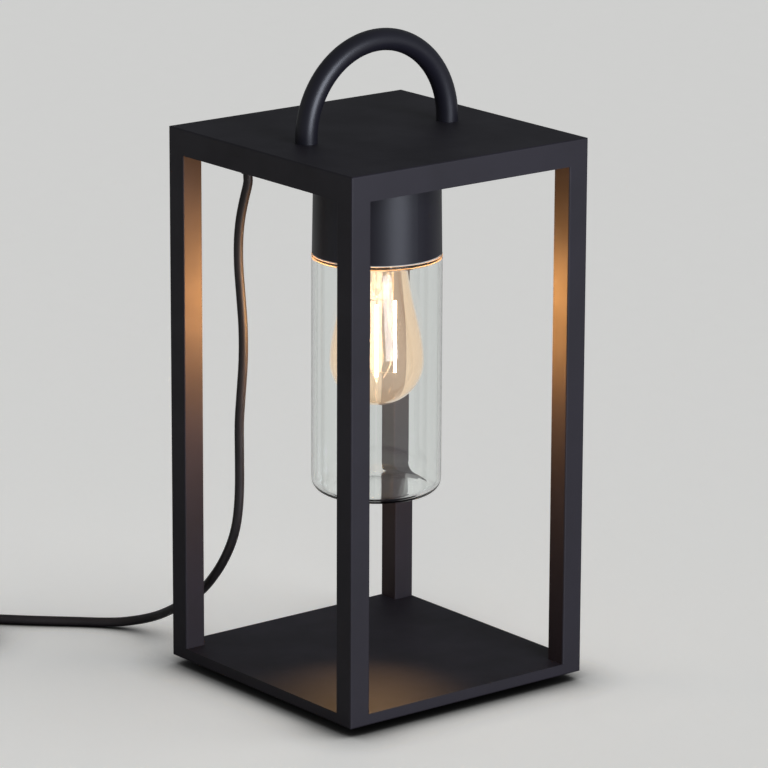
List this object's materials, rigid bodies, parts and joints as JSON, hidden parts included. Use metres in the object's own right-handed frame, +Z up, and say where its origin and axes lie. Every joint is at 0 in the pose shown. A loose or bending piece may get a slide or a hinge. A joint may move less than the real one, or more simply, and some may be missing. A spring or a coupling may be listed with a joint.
{
  "type": "lantern table lamp",
  "caption": "Square open lantern frame with a bow handle; a cup under its hollow top holds a screwed-on clear glass cylinder round a filament lamp, fed by a coiled mains lead.",
  "frame": {"origin": "on the floor, under the middle of the square frame", "axes": "+Z up; the handle's bow lies in the plane of Y and Z; the lead leaves on the -X side, near the -X -Y post"},
  "size_m": [0.4092, 0.4246, 0.45],
  "materials": {
    "powder_coat": "fine-textured matt powder coat",
    "clear_glass": "clear, fire polished",
    "amber_glass": "clear with a light amber coating",
    "stem_glass": "clear",
    "filament": "glowing phosphor",
    "nickel": "plated",
    "brass": "satin",
    "zinc_steel": "zinc plated",
    "porcelain": "glazed",
    "block_plastic": "satin",
    "insulator_glass": "gloss",
    "silicone": "matt",
    "foot_rubber": "matt",
    "cord_rubber": "matt",
    "plug_rubber": "matt",
    "gland_nylon": "satin",
    "tie_fabric": "woven",
    "wire_brown": "satin",
    "wire_blue": "satin",
    "wire_green_yellow": "satin"
  },
  "bodies": {
    "root": {"base_plate": "powder_coat", "feet": "foot_rubber", "foot_screws": "zinc_steel", "post_front": "powder_coat", "post_right": "powder_coat", "post_back": "powder_coat", "post_left": "powder_coat", "tie_rods": "zinc_steel", "top_cover": "powder_coat", "handle": "powder_coat", "handle_washers": "zinc_steel", "handle_screws": "zinc_steel", "ceiling_plate": "powder_coat", "ceiling_screws": "zinc_steel", "lamp_cup": "powder_coat", "holder_bracket": "zinc_steel", "cup_screws": "zinc_steel", "cup_nuts": "zinc_steel", "lampholder_body": "porcelain", "lampholder_shell": "brass", "lampholder_contact": "brass", "lampholder_screws": "zinc_steel", "terminal_block": "block_plastic", "terminal_screw": "zinc_steel", "earth_terminal": "brass", "live_lead": "wire_brown", "neutral_lead": "wire_blue", "earth_lead": "wire_green_yellow", "cord_gland": "gland_nylon", "gland_nut": "gland_nylon", "cord_run": "cord_rubber", "cord_coil": "cord_rubber", "cord_tail": "cord_rubber", "coil_tie": "tie_fabric", "plug_relief_sleeve": "plug_rubber", "plug_body": "plug_rubber", "plug_pins": "nickel", "plug_earth_strips": "nickel"},
    "gasket": {"glass_gasket": "silicone"},
    "glass": {"glass_cylinder": "clear_glass"},
    "lamp_contact": {"bulb_contact": "nickel"},
    "lamp": {"bulb_insulator": "insulator_glass", "bulb_cap": "nickel", "bulb_glass": "amber_glass", "bulb_stem": "stem_glass", "filament_supports": "nickel", "led_filaments": "filament"}
  },
  "joints": [
    {"name": "glass_lowers", "type": "slide", "parent": "root", "child": "gasket", "axis": [0, 0, -1], "range_m": [0, 0.1165]},
    {"name": "glass_turns", "type": "hinge", "parent": "gasket", "child": "glass", "pos_m": [0, 0, 0.302], "axis": [0, 0, -1], "range_deg": [0, 360]},
    {"name": "lamp_travels", "type": "slide", "parent": "root", "child": "lamp_contact", "axis": [0, 0, -1], "range_m": [0, 0.0236]},
    {"name": "lamp_turns", "type": "hinge", "parent": "lamp_contact", "child": "lamp", "pos_m": [0, 0, 0.33], "axis": [0, 0, -1], "range_deg": [0, 2340]}
  ],
  "couplings": [
    {"joint": "lamp_travels", "follows": "lamp_turns", "m_per_rad": 0.00057757}
  ]
}
